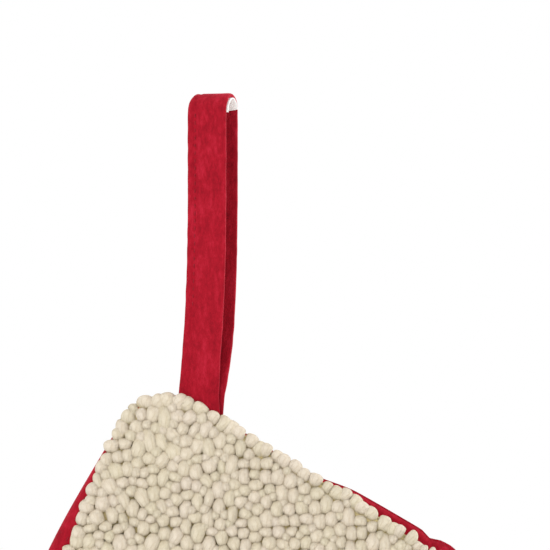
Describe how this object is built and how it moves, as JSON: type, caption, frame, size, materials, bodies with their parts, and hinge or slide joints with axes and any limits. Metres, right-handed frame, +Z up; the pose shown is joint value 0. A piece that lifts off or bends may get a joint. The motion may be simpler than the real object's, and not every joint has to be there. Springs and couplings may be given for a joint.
{
  "type": "hanging stocking",
  "caption": "Open cloth stocking with a hooked wool pebble front, red velveteen back and a folded velveteen hanging loop at one top corner.",
  "frame": {"origin": "axis of the hook or peg that carries the stocking, midway along the strap's width, inside the hanging loop's crown", "axes": "+Z up as the stocking hangs, +X towards the toe side, +Y away from the hooked wool front, which faces -Y"},
  "size_m": [0.3217, 0.0331, 0.5188],
  "materials": {
    "wool_pile": "puffy hooked wool yarn loops, matte",
    "canvas": "open plain-weave cotton canvas, matte",
    "red_velveteen": "short brushed cotton velveteen with a soft sheen",
    "lining_cotton": "plain-weave cotton, matte",
    "red_thread": "twisted polyester sewing thread",
    "twill_tape": "white cotton twill tape"
  },
  "bodies": {
    "loop": {"loop_strap": "red_velveteen", "crown_tape": "twill_tape", "loop_edge_stitching": "red_thread"},
    "loop_foot": {"loop_foot": "red_velveteen"},
    "stocking": {"hooked_pile": "wool_pile", "foundation_cloth": "canvas", "front_lining": "lining_cotton", "back_panel": "red_velveteen", "back_lining": "lining_cotton", "side_seam_thread": "red_thread", "front_hem_stitching": "red_thread", "back_hem_stitching": "red_thread", "loop_tail": "red_velveteen", "loop_bar_tack": "red_thread"}
  },
  "joints": [
    {"name": "loop_sway", "type": "hinge", "parent": "loop", "child": "loop_foot", "pos_m": [-0.0055, 0, -0.12233], "axis": [0, 1, 0], "range_deg": [-12, 12]},
    {"name": "loop_fold", "type": "hinge", "parent": "loop_foot", "child": "stocking", "pos_m": [-0.0055, 0, -0.13633], "axis": [0.8634, 0, -0.5045], "range_deg": [-75, 75]}
  ]
}
